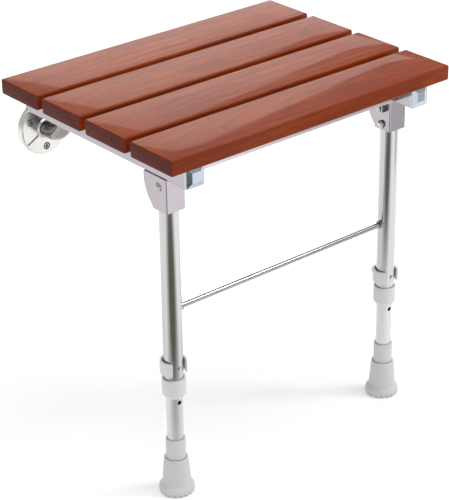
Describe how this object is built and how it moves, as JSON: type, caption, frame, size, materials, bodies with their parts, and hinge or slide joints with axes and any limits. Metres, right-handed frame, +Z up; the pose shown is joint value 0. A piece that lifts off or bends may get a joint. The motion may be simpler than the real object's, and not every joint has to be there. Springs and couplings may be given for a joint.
{
  "type": "wall-mounted folding shower seat",
  "caption": "Slatted wooden shower seat on a chromed frame, hinged to round wall flanges, with telescopic front legs that fold under it.",
  "frame": {"origin": "on the floor, on the centre plane, midway between the front slat edge and the wall", "axes": "+Z up, +Y towards the wall, +X along the slats"},
  "size_m": [0.45, 0.3714, 0.492],
  "materials": {
    "slat_wood": "satin varnish over reddish brown hardwood",
    "frame_chrome": "bright chrome plate",
    "cap_metal": "bright chrome plate",
    "plug_plastic": "moulded",
    "cross_steel": "brushed",
    "flange_metal": "polished casting",
    "arm_chrome": "polished tube",
    "nylon": "moulded",
    "fastener_steel": "plated",
    "polished_tube": "polished tube",
    "satin_tube": "satin anodised",
    "collar_plastic": "moulded",
    "clip_plastic": "moulded",
    "foot_rubber": "soft moulded rubber",
    "pin_chrome": "polished",
    "spring_steel": "spring strip"
  },
  "bodies": {
    "wall": {"wall_flange_left": "flange_metal", "wall_flange_right": "flange_metal", "wall_arm_left": "arm_chrome", "wall_arm_right": "arm_chrome", "hinge_bushes": "nylon"},
    "seat": {"slat_1": "slat_wood", "slat_2": "slat_wood", "slat_3": "slat_wood", "slat_4": "slat_wood", "rail_left": "frame_chrome", "rail_right": "frame_chrome", "front_cap_left": "cap_metal", "front_cap_right": "cap_metal", "rear_plug_left": "plug_plastic", "rear_plug_right": "plug_plastic", "front_cross_rail": "cross_steel", "rear_cross_rail": "cross_steel", "slat_screws": "fastener_steel", "hinge_bolts": "fastener_steel", "hinge_washers": "fastener_steel", "hinge_nuts": "fastener_steel", "leg_bracket_left": "frame_chrome", "leg_bracket_right": "frame_chrome", "pivot_bolts": "fastener_steel", "pivot_nuts": "fastener_steel"},
    "legs": {"upper_leg_left": "polished_tube", "upper_leg_right": "polished_tube", "pivot_sleeves": "polished_tube", "leg_crossbar": "polished_tube", "crossbar_rings": "polished_tube", "leg_collar_left": "collar_plastic", "leg_collar_right": "collar_plastic", "button_spring_left": "spring_steel", "button_spring_right": "spring_steel"},
    "lower_leg_left": {"lower_leg_left": "satin_tube", "leg_glide_left": "nylon", "foot_sleeve_left": "collar_plastic", "foot_left": "foot_rubber"},
    "lower_leg_right": {"lower_leg_right": "satin_tube", "leg_glide_right": "nylon", "foot_sleeve_right": "collar_plastic", "foot_right": "foot_rubber"},
    "clip_left": {"spring_clip_left": "clip_plastic", "clip_pin_left": "pin_chrome"},
    "clip_right": {"spring_clip_right": "clip_plastic", "clip_pin_right": "pin_chrome"},
    "button_left": {"snap_button_left": "pin_chrome"},
    "button_right": {"snap_button_right": "pin_chrome"}
  },
  "joints": [
    {"name": "seat_fold", "type": "hinge", "parent": "wall", "child": "seat", "pos_m": [0, 0.12775, 0.458], "axis": [-1, 0, 0], "range_deg": [0, 90]},
    {"name": "legs_fold", "type": "hinge", "parent": "seat", "child": "legs", "pos_m": [0, -0.124, 0.4307], "axis": [1, 0, 0], "range_deg": [0, 81], "deforming": ["snap_button_left", "snap_button_right"]},
    {"name": "leg_length_left", "type": "slide", "parent": "legs", "child": "lower_leg_left", "axis": [0, 0, -1], "range_m": [-0.05, 0.1]},
    {"name": "clip_pull_left", "type": "slide", "parent": "legs", "child": "clip_left", "axis": [0, 1, 0], "range_m": [0, 0.026], "deforming": ["spring_clip_left"]},
    {"name": "button_press_left", "type": "slide", "parent": "legs", "child": "button_left", "axis": [-1, 0, 0], "range_m": [0, 0.007], "stiffness_N_per_m": 400, "springref_m": -0.004, "deforming": ["button_spring_left"]},
    {"name": "leg_length_right", "type": "slide", "parent": "legs", "child": "lower_leg_right", "axis": [0, 0, -1], "range_m": [-0.05, 0.1]},
    {"name": "clip_pull_right", "type": "slide", "parent": "legs", "child": "clip_right", "axis": [0, 1, 0], "range_m": [0, 0.026], "deforming": ["spring_clip_right"]},
    {"name": "button_press_right", "type": "slide", "parent": "legs", "child": "button_right", "axis": [1, 0, 0], "range_m": [0, 0.007], "stiffness_N_per_m": 400, "springref_m": -0.004, "deforming": ["button_spring_right"]}
  ],
  "couplings": [
    {"joint": "legs_fold", "follows": "seat_fold", "ratio": 0.9}
  ]
}
